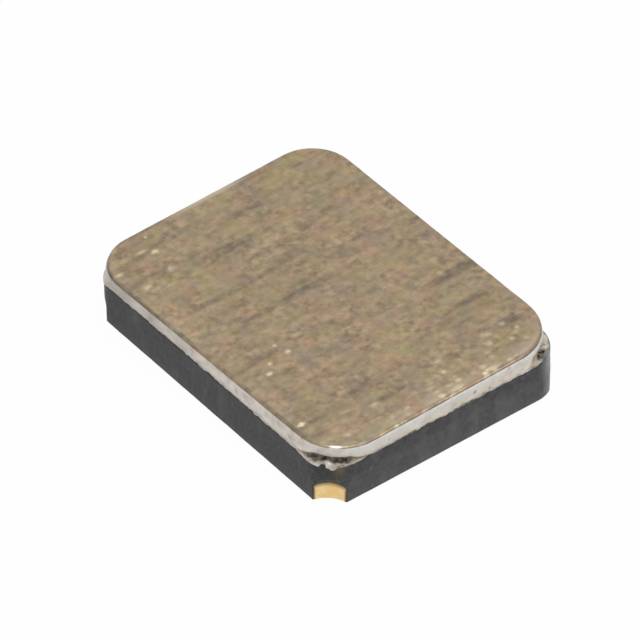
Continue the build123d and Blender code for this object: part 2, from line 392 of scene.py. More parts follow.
def shell_faces(ring_total, closed):
    """Quads that join each ring to the next. A closed stack joins its last ring to its first."""
    faces = []
    for level in range(ring_total if closed else ring_total - 1):
        low, high = level * RING_COUNT, (level + 1) % ring_total * RING_COUNT
        for i in range(RING_COUNT):
            j = (i + 1) % RING_COUNT
            faces.append([low + i, low + j, high + j, high + i])
    if not closed:
        faces += [face[::-1] for face in cap_faces(0)]
        faces += cap_faces((ring_total - 1) * RING_COUNT)
    return faces


print("mesh helpers ready")

# %% [markdown]
# ## Ceramic base
#
# The base is fired black alumina, matte and almost neutral grey, with a fine speckle. Its corners are
# rounded, and each has a notch that is wide below, where the gold climbs, and tapers out towards the rim.
# The notch is cut into each ring by pushing the points that lie too near the corner away from it. The
# holes for the notches are never punched quite in line with the edges, so the four differ a little. The
# stepped cavity inside is built as well, so that the base is one closed piece.

# %% Ceramic finish
CERAMIC_GREY = (0.048, 0.048, 0.050, 1)
CERAMIC_PALE = (0.078, 0.077, 0.080, 1)
CERAMIC_DARK = (0.017, 0.017, 0.018, 1)
CERAMIC_CHALK = (0.27, 0.26, 0.25, 1)
CERAMIC_GRAIN = (0.100, 0.102, 0.110, 1)
# Colour of the painted shade on the wall under the front corner's overhang
PAINTED_SHADE = (0.010, 0.008, 0.007, 1)
STAIN_BROWN = (0.20, 0.125, 0.055, 1)

ceramic_finish, tree, shader = start_finish("black_ceramic", 0.55)
shader.inputs["Specular IOR Level"].default_value = 0.4
colour = tint(tree, grain(tree, 30, 0.30, 0.72, 3), CERAMIC_DARK, CERAMIC_GREY)
colour = tint(tree, grain(tree, (7, 7, 3), 0.52, 0.85), colour, CERAMIC_PALE)
colour = tint(tree, specks(tree, 34, 0.34, 0.12), colour, CERAMIC_PALE)
colour = tint(tree, specks(tree, 24, 0.34, 0.022), colour, CERAMIC_GRAIN)
colour = tint(tree, vertex_mask(tree, "chalk"), colour, CERAMIC_CHALK)
# Painted shade: this mask darkens the wall under the front corner's overhang
colour = tint(tree, vertex_mask(tree, "painted_shade"), colour, PAINTED_SHADE)
colour = tint(tree, vertex_mask(tree, "stain"), colour, STAIN_BROWN)
tree.links.new(colour, shader.inputs["Base Color"])
relief(tree, shader, grain(tree, 60, 0.2, 0.8, 3), 1.5)
print("finish:", ceramic_finish.name)

# %% Rings of the ceramic base
BODY_LENGTH, BODY_WIDTH = 2.50, 2.00
CERAMIC_BOTTOM, CERAMIC_TOP = 0.010, 0.325
SHELF_TOP, FLOOR_TOP = 0.205, 0.110
CAVITY_LENGTH, CAVITY_WIDTH, CAVITY_RADIUS = 1.95, 1.45, 0.10
POCKET_LENGTH, POCKET_WIDTH, POCKET_RADIUS = 1.30, 1.05, 0.08
EDGE_BREAK = 0.004
# Rings of the wall: height of the third, number from there up, how far they stay inside the CAD wall
WALL_START, WALL_RINGS, WALL_INSET = 0.025, 28, 0.0010
# Unevenness of the wall: height, waves per mm and start of each ripple
WALL_WAVES = ((0.0012, 9, 3), (0.0006, 31, 8))
# Corner rounding up to the first height and from the second, and the notch's reach at four heights
ROUND_HEIGHTS = (0.135, 0.22)
LOW_ROUND = {"front": 0.170, "right": 0.236, "rear": 0.200, "left": 0.180}
RIM_ROUND = {"front": 0.225, "right": 0.275, "rear": 0.225, "left": 0.182}
NOTCH_HEIGHTS = (0.0, 0.135, 0.190, CERAMIC_TOP)
NOTCH_REACH = {
    "front": (0.160, 0.160, 0.122, 0.098),
    "right": (0.156, 0.156, 0.134, 0.124),
    "rear": (0.150, 0.150, 0.118, 0.098),
    "left": (0.146, 0.136, 0.104, 0.080),
}
# How far inward along x and y each hole's middle lies from the body's square corner
NOTCH_SHIFT = {"front": (0, 0), "right": (0.014, -0.040), "rear": (0, 0), "left": (0, 0)}


def body_ring(level):
    """The body's outline without its notches, as rounded as it is at that level."""
    radii = [float(np.interp(level, ROUND_HEIGHTS, (LOW_ROUND[c], RIM_ROUND[c]))) for c in CORNER_SIGNS]
    return rounded_ring(BODY_LENGTH, BODY_WIDTH, radii)


def notched(ring, level):
    """A body ring with its four corner notches, as deep as they are at that level."""
    cut = ring.copy()
    for name, (sx, sy) in CORNER_SIGNS.items():
        reach = np.interp(level, NOTCH_HEIGHTS, NOTCH_REACH[name])
        shift_x, shift_y = NOTCH_SHIFT[name]
        middle = np.array((sx * (BODY_LENGTH / 2 - shift_x), sy * (BODY_WIDTH / 2 - shift_y)))
        away = cut - middle
        distance = np.linalg.norm(away, axis=1, keepdims=True)
        cut = np.where(distance < reach, middle + away / np.maximum(distance, 1e-6) * reach, cut)
    return cut


rings = []
even_levels = np.linspace(WALL_START, CERAMIC_TOP - EDGE_BREAK, WALL_RINGS)
for level in (CERAMIC_BOTTOM, CERAMIC_BOTTOM + EDGE_BREAK, *even_levels):
    plain = body_ring(level)
    ring = notched(plain, level)
    inset = WALL_INSET + (EDGE_BREAK if level == CERAMIC_BOTTOM else 0.0)
    uneven = waves(at_level(ring, level), WALL_WAVES)
    rings.append(at_level(ring + outward(plain) * (uneven - inset)[:, None], level))
rim_plain = body_ring(CERAMIC_TOP)
rings.append(at_level(notched(rim_plain, CERAMIC_TOP) - EDGE_BREAK * outward(rim_plain), CERAMIC_TOP))
cavity_ring = rounded_ring(CAVITY_LENGTH, CAVITY_WIDTH, CAVITY_RADIUS)
pocket_ring = rounded_ring(POCKET_LENGTH, POCKET_WIDTH, POCKET_RADIUS)
rings += [at_level(cavity_ring, CERAMIC_TOP), at_level(cavity_ring, SHELF_TOP)]
rings += [at_level(pocket_ring, SHELF_TOP), at_level(pocket_ring, FLOOR_TOP)]
points = np.vstack(rings)
print("ceramic rings:", len(rings))

# %% Stain, rubbing, paler patches and painted shade on the ceramic
# Place and reach of the brown stain, and of the painted shade under the front corner's overhang
STAIN_SPOT = ((1.220, -0.880, 0.310), (0.036, 0.036, 0.055))
PAINTED_SHADE_SPOT = ((1.172, -0.940, 0.270), (0.055, 0.055, 0.066))
# Strength of the pale rub along the walls, and the middle of the right corner's rounding
RUB, ROUND_MIDDLE = 0.07, (0.988, 0.738)


def blot(points, middle, reach):
    """A soft mask round a place on the wall, with an uneven border."""
    run = (points - np.array(middle)) / np.array(reach)
    near = np.exp(-((run ** 2).sum(axis=1)))
    near[near > 0.01] *= 0.65 + 0.35 * ripple(points[near > 0.01], 40, 5)
    return near


# The lower edges of the walls are paler from handling, and the right corner's rounding is paler still
height = points[:, 2]
on_wall = height > CERAMIC_BOTTOM
rubbed_low = RUB * ramp(height, 0.10, 0.01)
rubbed_low += RUB * ramp(height, 0.245, 0.195) * (on_wall & (points[:, 0] > 1.2))
at_right = on_wall & (points[:, 0] > 0.99) & (points[:, 1] > 0.74)
corner_turn = np.arctan2(points[:, 1] - ROUND_MIDDLE[1], points[:, 0] - ROUND_MIDDLE[0])
pale_corner = at_right * ramp(corner_turn, radians(10), radians(38))
pale_corner *= ramp(corner_turn, radians(84), radians(54))
# The right notch's wall is paler in a margin beside its plating
from_hole = np.array((BODY_LENGTH, BODY_WIDTH)) / 2 - NOTCH_SHIFT["right"] - points[:, :2]
margin_turn = np.arctan2(from_hole[:, 1], from_hole[:, 0])
pale_margin = on_wall & (np.linalg.norm(from_hole, axis=1) < 0.17) & (height < 0.2)
pale_margin = pale_margin * ramp(margin_turn, radians(26), radians(20))

ceramic = add_piece(
    "ceramic_body", points, shell_faces(len(rings), False), ceramic_finish,
    {
        "stain": 0.9 * blot(points, *STAIN_SPOT),
        # Painted shade under the front corner's overhang
        "painted_shade": blot(points, *PAINTED_SHADE_SPOT),
        "chalk": np.maximum.reduce((rubbed_low, pale_corner, pale_margin)),
    },
)
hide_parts("ceramic_base")

# %% [markdown]
# ## Metallised rim
#
# A metal frame is printed and plated on top of the ceramic. Along the sides it shows as a thin pale line
# with a wavy border, which stays a little back from the ceramic's edge. At the corners more of it shows,
# with dark voids next to the seal. The voids are real hollows in the mesh, and a mask of the same shape
# darkens them, partly as their own dark floor and partly as painted shade under the seal's bead. The same
# mask paints shade along the rim's edge on the near short side.

# %% Rim finish
RIM_PALE = (0.68, 0.63, 0.56, 1)
RIM_GREY = (0.46, 0.425, 0.38, 1)
RIM_WARM = (0.52, 0.44, 0.33, 1)
VOID_BROWN = (0.024, 0.014, 0.010, 1)

rim_finish, tree, shader = start_finish("plated_rim", 0.5, 0.35)
shader.inputs["Specular IOR Level"].default_value = 0.2
colour = tint(tree, grain(tree, 24, 0.32, 0.62, 3), RIM_GREY, RIM_PALE)
colour = tint(tree, grain(tree, 8, 0.5, 0.75), colour, RIM_WARM)
colour = tint(tree, specks(tree, 26, 0.42, 0.08), colour, VOID_BROWN)
patches = between(tree, grain(tree, 40, 0.40, 0.62), 1.0, 0.55)
# Painted shade: darkens the voids under the seal's bead, and the rim's edge on the near short side
patchy = times(tree, vertex_mask(tree, "void_and_edge_shade"), patches)
colour = tint(tree, patchy, colour, VOID_BROWN)
tree.links.new(colour, shader.inputs["Base Color"])
relief(tree, shader, grain(tree, 45, 0.2, 0.8, 3), 4)
print("finish:", rim_finish.name)

# %% Metallised rim
RIM_TOP = 0.337
OPENING_LENGTH, OPENING_WIDTH, OPENING_RADIUS = 1.99, 1.49, 0.12
RIM_STEPS = (0.003, *np.arange(0.008, 0.112, 0.006), 0.12, 0.16)
# Each void: centre, half length, half width, turn in degrees, darkness
VOIDS = (
    ((1.052, -0.952), 0.058, 0.036, 25, 0.74),
    ((1.092, -0.903), 0.038, 0.026, 40, 1.0),
    ((1.176, -0.838), 0.064, 0.036, 52, 0.92),
    ((1.222, -0.874), 0.030, 0.014, 65, 0.55),
    ((1.182, 0.838), 0.062, 0.031, 125, 1.0),
    ((-1.175, 0.842), 0.045, 0.020, 45, 0.9),
)
VOID_DEPTH = 0.0085
# Each lump: centre, size and height
LUMPS = (
    ((1.142, -0.918), 0.028, 0.015),
    ((1.215, -0.860), 0.024, 0.006),
    ((1.05, -0.990), 0.03, 0.005),
)
BORDER_WAVES = ((0.005, 8, 21), (0.008, 26, 4))
# Places along the border, with their reach: where it hangs over, where it runs down, where it is broken
OVERHANG, TONGUE = ((1.090, -0.985), 0.130), ((1.198, -0.920), 0.022)
LEFT_SPILL = ((-1.197, -0.947), 0.10)
FRONT_BREAK, RIGHT_BREAK = ((1.145, -0.965), 0.020), ((1.205, 0.885), 0.055)
# How far it does so at each of these places, and how far it stays back elsewhere and on the far side
HANG_OUT, TONGUE_DROP, SPILL_DROP = 0.012, 0.016, 0.030
FRONT_DEPTH, RIGHT_DEPTH = 0.034, 0.028
SETBACK, FAR_SETBACK = 0.003, 0.010


def void_mask(flat):
    """A soft mask of the voids, which are stretched round spots with uneven borders."""
    mask = np.zeros(len(flat))
    for centre, long, wide, turn, darkness in VOIDS:
        gap = flat[:, :2] - np.array(centre)
        c, s = cos(radians(turn)), sin(radians(turn))
        reach = np.hypot((gap[:, 0] * c + gap[:, 1] * s) / long, (gap[:, 1] * c - gap[:, 0] * s) / wide)
        near = reach < 2
        level = np.column_stack((flat[near, :2], np.zeros(near.sum())))
        reach[near] += waves(level, ((0.45, 34, 2), (0.30, 75, 7)))
        mask = np.maximum(mask, darkness * ramp(reach, 1.25, 0.65))
    return mask


opening_ring = rounded_ring(OPENING_LENGTH, OPENING_WIDTH, OPENING_RADIUS)
inward = opening_ring - rim_plain
inward = inward / np.linalg.norm(inward, axis=1, keepdims=True)
side = outward(rim_plain)
border = at_level(rim_plain, 0)
overhang = close_to(rim_plain, *OVERHANG)
tongue = close_to(rim_plain, *TONGUE)
spill = TONGUE_DROP * tongue + SPILL_DROP * close_to(rim_plain, *LEFT_SPILL)
setback = SETBACK + waves(border, BORDER_WAVES) + FAR_SETBACK * side[:, 1].clip(0, 1)
setback = np.clip(setback, -0.003, 0.018) * (1 - tongue) * (1 - overhang)
setback -= HANG_OUT * overhang + 0.10 * spill
setback += FRONT_DEPTH * close_to(rim_plain, *FRONT_BREAK)
setback += RIGHT_DEPTH * close_to(rim_plain, *RIGHT_BREAK)
rim_edge = rim_plain + setback[:, None] * inward
bulge = rim_edge + (0.08 * spill)[:, None] * side

rings = [at_level(opening_ring, CERAMIC_TOP), at_level(rim_edge, CERAMIC_TOP - spill)]
rings += [at_level(bulge, CERAMIC_TOP + 0.004 - 0.7 * spill), at_level(bulge, CERAMIC_TOP + 0.008)]
for step in RIM_STEPS:
    flat = rim_edge + step * inward
    lift = 0.0020 * ripple(at_level(flat, 0), 16, 11)
    for centre, size, height in LUMPS:
        lift += height * np.exp(-((np.linalg.norm(flat - np.array(centre), axis=1) / size) ** 2))
    rings.append(at_level(flat, RIM_TOP - 0.001 + lift - VOID_DEPTH * void_mask(flat)))
rings.append(at_level(opening_ring, RIM_TOP))
points = np.vstack(rings)
# The voids' darkening is partly their own dark floor and partly painted shade under the seal's bead
void_and_edge_shade = void_mask(points) * (points[:, 2] > CERAMIC_TOP)
# Painted shade along the rim's edge on the near short side, on the four outermost rings
edge_shade = side[:, 0].clip(0, 1) * np.clip(0.4 + 1.2 * ripple(border, 14, 52), 0, 0.8)
edge_rings = slice(RING_COUNT, 5 * RING_COUNT)
void_and_edge_shade[edge_rings] = np.maximum(void_and_edge_shade[edge_rings], np.tile(edge_shade, 4))

rim = add_piece(
    "rim_metal", points, shell_faces(len(rings), True), rim_finish,
    {"void_and_edge_shade": void_and_edge_shade},
)
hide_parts("rim_metallisation")

# %% [markdown]
# ## Seal band
#
# The lid is sealed by a silver-white braze that has flowed between rim and lid. It is a bead that follows
# the lid's rounded corners above, and a foot that follows the straight sides of the body below. One
# cross-section is swept round the part: each of its points is a share of the way from the foot to the
# lid, plus a distance out from the lid's edge. Small waves make it uneven. At the front and right corners
# its foot is drawn back, and at the left corner it is fuller. The band is dull in places, and on the near
# short side it is cooler above and creamier below.

# %% Seal finish
SEAL_SILVER = (0.70, 0.635, 0.565, 1)
SEAL_BRIGHT = (0.80, 0.745, 0.675, 1)
SEAL_GREY = (0.40, 0.36, 0.32, 1)
SEAL_COOL = (0.62, 0.60, 0.575, 1)
SEAL_CREAM = (0.72, 0.63, 0.49, 1)
PIT_AND_SHADE_BROWN = (0.12, 0.09, 0.065, 1)

seal_finish, tree, shader = start_finish("silver_braze", 0.5, 0.35)
colour = tint(tree, grain(tree, (17, 17, 24), 0.24, 0.56, 3), SEAL_GREY, SEAL_SILVER)
colour = tint(tree, grain(tree, 9, 0.45, 0.72), colour, SEAL_BRIGHT)
colour = tint(tree, vertex_mask(tree, "cool"), colour, SEAL_COOL)
colour = tint(tree, vertex_mask(tree, "cream"), colour, SEAL_CREAM)
colour = tint(tree, times(tree, vertex_mask(tree, "dull"), 0.75), colour, SEAL_GREY)
colour = tint(tree, times(tree, specks(tree, 20, 0.45, 0.07), 0.7), colour, PIT_AND_SHADE_BROWN)
# Painted shade in the crease between the band's top and the lid, on the near side
colour = tint(tree, vertex_mask(tree, "groove_shade"), colour, PIT_AND_SHADE_BROWN)
tree.links.new(colour, shader.inputs["Base Color"])
relief(tree, shader, grain(tree, 40, 0.2, 0.8, 3), 4)
print("finish:", seal_finish.name)

# %% Seal band
LID_LENGTH, LID_WIDTH = 2.530, 1.971
LID_RADII = (0.31, 0.365, 0.31, 0.31)
LID_SHIFT, LID_TURN = np.array((-0.019, -0.019)), radians(1.1)
LID_BOTTOM, LID_SIDE_TOP, LID_TOP = 0.390, 0.452, 0.470
FOOT_LENGTH, FOOT_WIDTH, FOOT_RADIUS = 2.476, 1.976, 0.365
# Cross-section: share of the way from foot to lid, distance out from there, height, mask of painted shade
# in the crease under the lid
SEAL_SECTION = (
    (0.0, 0.003, 0.3365, 0.0),
    (0.0, 0.009, 0.3385, 0.0),
    (0.12, 0.010, 0.3440, 0.0),
    (0.35, 0.0095, 0.3530, 0.0),
    (0.60, 0.009, 0.3640, 0.0),
    (0.85, 0.009, 0.3760, 0.0),
    (1.0, 0.0090, 0.3880, 0.0),
    (1.0, 0.0095, 0.4000, 0.0),
    (1.0, 0.0095, 0.4120, 0.0),
    (1.0, 0.0090, 0.4230, 0.0),
    (1.0, 0.0075, 0.4325, 0.0),
    (1.0, 0.0050, 0.4400, 0.0),
    (1.0, 0.0022, 0.4450, 0.2),
    (1.0, -0.0005, 0.4465, 0.5),
    (1.0, 0.0005, 0.4360, 0.5),
)
SEAL_WAVES = ((0.0030, 5, 14), (0.0022, 17, 6), (0.0012, 45, 9))
# How far the foot is drawn back at the front and right corners and fills the left one, and where
FRONT_DRAW, RIGHT_DRAW, LEFT_FILL = 0.055, 0.035, 0.050
FRONT_FOOT, RIGHT_FOOT, LEFT_FOOT = (1.125, -0.886), (1.180, 0.820), (-1.131, -0.881)
# How far the bead rises on the lid's front corner, and where
FRONT_RISE, RISE_PLACE = 0.012, (1.165, -0.900)

lid_turned = np.array(((cos(LID_TURN), -sin(LID_TURN)), (sin(LID_TURN), cos(LID_TURN))))
lid_ring = rounded_ring(LID_LENGTH, LID_WIDTH, LID_RADII) @ lid_turned.T + LID_SHIFT
foot_ring = rounded_ring(FOOT_LENGTH, FOOT_WIDTH, FOOT_RADIUS)
lid_side = outward(lid_ring)
fullness = 1 - 0.6 * lid_side[:, 1].clip(0, 1)
near_side, short_side = (-lid_side[:, 1]).clip(0, 1), lid_side[:, 0].clip(0, 1)
drawn_back = FRONT_DRAW * close_to(foot_ring, FRONT_FOOT, 0.14)
drawn_back += RIGHT_DRAW * close_to(foot_ring, RIGHT_FOOT, 0.10)
at_left = close_to(foot_ring, LEFT_FOOT, 0.20)
filled = LEFT_FILL * (at_left + 0.6 * close_to(foot_ring, LEFT_FOOT, 0.11))
raised = FRONT_RISE * close_to(lid_ring, RISE_PLACE, 0.24)


def joined(masks):
    """Masks that were gathered ring by ring, each as one row of values between 0 and 1."""
    return {title: np.concatenate(levels).clip(0, 1) for title, levels in masks.items()}


no_mask = np.zeros(RING_COUNT)
rings, masks = [], {"groove_shade": [], "dull": [], "cool": [], "cream": []}
for share, out, height, depth in SEAL_SECTION:
    flat = (1 - share) * foot_ring + share * lid_ring
    place = at_level(flat, height + raised * ramp(height, 0.40, 0.445))
    wave = waves(place, SEAL_WAVES) * (1.0 if 0.340 < height < 0.441 else 0.3)
    swell = out * fullness + wave + filled * (1 - share) - drawn_back * ramp(height, 0.402, 0.372)
    rings.append(at_level(flat + lid_side * swell[:, None], place[:, 2] + 0.3 * wave))
    # Painted shade in the crease under the lid, on the near side only
    masks["groove_shade"].append(depth * near_side * (0.6 + 0.6 * ripple(place, 6, 30)))
    dulled = near_side * ramp(place[:, 0], 0.1, -1.1) * (1 - 0.6 * at_left)
    masks["dull"].append(dulled + 0.5 * ripple(place, 6, 41))
    upper = ramp(height, 0.375, 0.405)
    masks["cool"].append(0.7 * short_side * upper)
    masks["cream"].append(short_side * (1 - upper) * (0.4 + 0.5 * ripple(place, 11, 63)))
rings += [at_level(lid_ring, LID_BOTTOM), at_level(opening_ring, LID_BOTTOM)]
rings.append(at_level(opening_ring, RIM_TOP))
for levels in masks.values():
    levels += [no_mask] * 3

seal = add_piece(
    "seal_band", np.vstack(rings), shell_faces(len(rings), True), seal_finish,
    joined(masks), smooth_angle=60,
)
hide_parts("seal_braze")

# %% [markdown]
# ## Lid
#
# The lid is punched from rolled strip and plated with nickel. Its colour is a warm champagne with a fine
# grain, tinted here and there with grey, pink and green, and the rolling has left thin streaks along its
# short side. Bright flecks lie on it, most of them along the two near sides; they are partly handling
# marks and partly painted glints. A few patches by the near long side are warmer. A paler painted sheen
# runs just inside the near edges and along the far short edge, a painted highlight marks the lip at the
# front corner, and painted shade darkens the lower lip. The lid sits about one degree askew. Its mesh is
# made in the lid's own frame, and the object is moved and turned, so that the streaks follow the lid and
# not the body.

# %% A group for single marks
spot_group, given, result = new_group(
    "spot",
    [
        ("Middle in mm", "NodeSocketVector", (0, 0, 0)),
        ("Reach in mm", "NodeSocketVector", (0.02, 0.02, 1)),
    ],
    ["Mask"],
)
here = place_in_mm(spot_group, (1, 1, 1))
both = {0: here, 1: given["Middle in mm"]}
aside = put(spot_group, "ShaderNodeVectorMath", both, operation="SUBTRACT")
ragged = put(spot_group, "ShaderNodeTexNoise", {"Vector": here, "Scale": 45.0, "Detail": 2.0})
both = {0: aside.outputs[0], 1: given["Reach in mm"]}
share = put(spot_group, "ShaderNodeVectorMath", both, operation="DIVIDE")
far = put(spot_group, "ShaderNodeVectorMath", {0: share.outputs[0]}, operation="LENGTH").outputs["Value"]
uneven = put(spot_group, "ShaderNodeMath", {0: far, 1: ragged.outputs[0]}, operation="ADD").outputs[0]
soft = put(spot_group, "ShaderNodeMapRange", {0: uneven, 1: 1.60, 2: 0.35})
spot_group.links.new(soft.outputs[0], result["Mask"])


def spot(tree, x, y, reach_x, reach_y, strength):
    """A mask of one mark on the lid, in the lid's own frame."""
    values = {"Middle in mm": (x, y, LID_TOP), "Reach in mm": (reach_x, reach_y, 1)}
    made = put(tree, "ShaderNodeGroup", values, node_tree=spot_group)
    return times(tree, made.outputs["Mask"], strength)


print("group:", spot_group.name)

# %% Lid finish
LID_SHADE = (0.215, 0.162, 0.105, 1)
LID_LIGHT = (0.480, 0.365, 0.232, 1)
LID_PINK = (0.450, 0.262, 0.180, 1)
LID_GREEN = (0.330, 0.300, 0.130, 1)
LID_GREY = (0.262, 0.236, 0.205, 1)
# Colour of the painted shade on the lid's lower lip and side
LID_LIP_SHADE = (0.105, 0.086, 0.068, 1)
LID_FLECK = (0.93, 0.81, 0.54, 1)
LID_GLINT = (0.97, 0.90, 0.82, 1)
LID_STREAK = (0.165, 0.134, 0.106, 1)
LID_PALE = (0.56, 0.475, 0.365, 1)
LID_WARM = (0.62, 0.36, 0.21, 1)
# Clouds and streaks of other tones: cells per mm along each axis, colour, strength
LID_TONES = (
    ((7, 6.5, 11), LID_PINK, 0.68), ((6.5, 6, 3), LID_GREEN, 0.68), ((6, 5.5, 17), LID_GREY, 0.68),
    ((15, 3, 5), LID_SHADE, 0.45), ((16, 3.5, 21), LID_LIGHT, 0.45),
)
# Warm patches in the lid's own frame: place, half width, half length, strength
LID_PATCHES = (
    (-0.54, -0.88, 0.050, 0.070, 0.8), (-0.42, -0.92, 0.045, 0.060, 0.6),
    (-0.26, -0.92, 0.045, 0.060, 0.6),
)
# Single flecks (marks and painted glints) in the lid's own frame: place, half width, half length,
# strength
LID_FLECKS = (
    (0.36, -0.77, 0.022, 0.029, 1.6), (0.29, -0.71, 0.018, 0.024, 1.1),
    (0.27, -0.54, 0.020, 0.029, 1.1), (0.17, -0.57, 0.020, 0.018, 0.9),
    (0.87, -0.92, 0.021, 0.034, 1.5), (1.02, -0.43, 0.031, 0.042, 0.7),
    (-1.09, -0.68, 0.022, 0.066, 0.6), (-1.04, -0.60, 0.024, 0.036, 0.9),
    (-1.19, -0.56, 0.018, 0.016, 0.9), (-1.00, -0.93, 0.022, 0.050, 0.7),
    (-0.84, -0.63, 0.034, 0.038, 0.5), (-0.79, -0.86, 0.020, 0.052, 0.5),
    (-0.72, -0.73, 0.020, 0.052, 0.4), (0.94, 0.72, 0.026, 0.032, 0.5),
    (0.95, 0.57, 0.030, 0.056, 0.6), (1.03, 0.53, 0.030, 0.036, 0.9),
    (1.02, 0.78, 0.022, 0.024, 0.8), (0.95, 0.15, 0.028, 0.046, 0.7),
    (1.06, 0.12, 0.026, 0.034, 0.7), (1.13, -0.04, 0.026, 0.042, 0.7),
    (1.24, 0.54, 0.022, 0.030, 0.9), (1.24, 0.41, 0.026, 0.046, 0.9),
    (1.24, 0.33, 0.022, 0.030, 1.4), (1.23, 0.10, 0.028, 0.050, 0.8),
    (1.23, -0.03, 0.024, 0.030, 1.1),
)

lid_finish, tree, shader = start_finish("nickel_lid", 0.42, 1.0)
grit = grain(tree, (23, 19, 12), 0.32, 0.68, 3)
colour = tint(tree, grit, LID_SHADE, LID_LIGHT)
for cells, other, strength in LID_TONES:
    colour = tint(tree, times(tree, grain(tree, cells, 0.42, 0.80), strength), colour, other)
for mark in LID_PATCHES:
    colour = tint(tree, times(tree, spot(tree, *mark), between(tree, grit, 0.3, 1.0)), colour, LID_WARM)
bands = times(tree, grain(tree, (10, 1.3, 9), 0.50, 0.68), grain(tree, (4, 2.5, 13), 0.40, 0.58))
colour = tint(tree, times(tree, bands, between(tree, grit, 0.85, 0.45)), colour, LID_STREAK)
# Painted sheen: a paler tint just inside the near edges, and a painted highlight along the far short edge
colour = tint(tree, times(tree, vertex_mask(tree, "painted_sheen"), 0.7), colour, LID_PALE)
# Flecks: partly marks and partly painted glints, most of them along the near edges
flecks = times(tree, specks(tree, (23, 16, 10), 0.60, 0.30), vertex_mask(tree, "scuffs_and_glints"))
for mark in LID_FLECKS:
    flecks = reckon(tree, "MAXIMUM", flecks, spot(tree, *mark))
colour = tint(tree, times(tree, flecks, between(tree, grit, 0.45, 0.95)), colour, LID_FLECK)
# Painted highlight: a pale tint on the lip at the front corner and its side, and a little along the far
# edge
shiny = put(tree, "ShaderNodeMapRange", {0: vertex_mask(tree, "lip"), 1: 0.12, 2: 0.26, 3: 0.0, 4: 0.8})
colour = tint(tree, shiny.outputs[0], colour, LID_GLINT)
# Painted shade on the lid's lower lip and side, with dark dashes that break the lip's highlight
colour = tint(tree, vertex_mask(tree, "lip_shade"), colour, LID_LIP_SHADE)
tree.links.new(colour, shader.inputs["Base Color"])
glints = times(tree, vertex_mask(tree, "lip"), grain(tree, 14, 0.45, 0.60))
rough = reckon(tree, "SUBTRACT", between(tree, grit, 0.47, 0.39), glints)
tree.links.new(rough, shader.inputs["Roughness"])
relief(tree, shader, grain(tree, (60, 30, 40), 0.2, 0.8, 3), 0.8)
print("finish:", lid_finish.name)

# %% Lid
LIP_ROUND, LIP_STEPS = 0.018, 9
LOWER_BREAK, TOP_DROP = 0.004, 0.0004
TOP_INSETS = (0.024, 0.034, 0.05, 0.07, 0.10, 0.14, 0.20, 0.28)
EDGE_WAVES = ((0.0010, 6, 17), (0.0008, 28, 1))
LIP_SHADE_WAVES = ((0.30, 6, 33), (0.35, 20, 61))
# Places on the lid's edge, each with its reach
FRONT_CORNER, FAR_HIGHLIGHT = ((1.175, -0.885), 0.24), ((-1.265, 0.040), 0.30)
FRONT_GLINT, SIDE_GLINT = ((1.169, -0.881), 0.040), ((1.248, -0.712), 0.045)

outer = rounded_ring(LID_LENGTH, LID_WIDTH, LID_RADII)
edge_line, lid_out = at_level(outer, 0), outward(outer)
edge_wave = waves(edge_line, EDGE_WAVES)
near_long, near_short = (-lid_out[:, 1]).clip(0, 1), lid_out[:, 0].clip(0, 1)
near_ends = near_short ** 2 * (0.9 + 0.3 * outer[:, 1]) + 0.25 * near_long ** 2
at_front, far_highlight = close_to(outer, *FRONT_CORNER), close_to(outer, *FAR_HIGHLIGHT)
glint = close_to(outer, *FRONT_GLINT) + 0.3 * close_to(outer, *SIDE_GLINT)
# How deep the painted shade on the lower lip is round the edge, and dashes of it that dull the lip's
# highlight
lip_shade_depth = 0.45 + near_long * (0.55 * np.clip(-outer[:, 0] / 0.8, 0, 1.3) - 0.22)
lip_shade_depth += waves(edge_line, LIP_SHADE_WAVES)
lip_shade_depth *= 1 - 0.35 * at_front
dashes = (near_short + near_long) * np.clip(1.6 * ripple(edge_line, 17, 71), 0, 0.42) * (1 - at_front)

rings = [at_level(outer - LOWER_BREAK * lid_out, LID_BOTTOM), at_level(outer, LID_BOTTOM + LOWER_BREAK)]
masks = {title: [no_mask] * 2 for title in ("lip", "painted_sheen", "scuffs_and_glints")}
masks["lip_shade"] = [lip_shade_depth] * 2
for angle in np.linspace(0, pi / 2, LIP_STEPS):
    flat = outer + lid_out * (edge_wave - LIP_ROUND * (1 - cos(angle)))[:, None]
    height = LID_SIDE_TOP + LIP_ROUND * sin(angle)
    rings.append(at_level(flat, height + 0.5 * edge_wave * sin(angle)))
    masks["lip"].append(0.06 + 0.05 * at_front + 0.15 * glint + 0.10 * far_highlight)
    masks["painted_sheen"].append(0.4 * near_ends * (0.7 + 0.6 * ripple(edge_line, 9, 25)) + 0.8 * far_highlight)
    masks["scuffs_and_glints"].append(near_ends)
    masks["lip_shade"].append(np.maximum(lip_shade_depth * np.clip(1.3 - angle / radians(68), 0, 1), dashes))
for inset in TOP_INSETS:
    radii = [max(radius - inset, 0.02) for radius in LID_RADII]
    flat = rounded_ring(LID_LENGTH - 2 * inset, LID_WIDTH - 2 * inset, radii)
    level = at_level(flat, 0)
    rings.append(at_level(flat, LID_TOP - TOP_DROP + 0.0008 * ripple(level, 4, 12)))
    # Painted sheen just inside the near edges
    near_sheen = near_ends * np.exp(-((inset / 0.075) ** 2)) * (0.8 + 0.8 * ripple(level, 9, 25))
    masks["lip"].append(no_mask)
    masks["painted_sheen"].append(near_sheen + 1.2 * far_highlight * np.exp(-(((inset - TOP_INSETS[0]) / 0.018) ** 2)))
    masks["scuffs_and_glints"].append(near_ends * (1 - inset / TOP_INSETS[-1]))
    masks["lip_shade"].append(no_mask)
rings[-1][:, 2] = LID_TOP - TOP_DROP

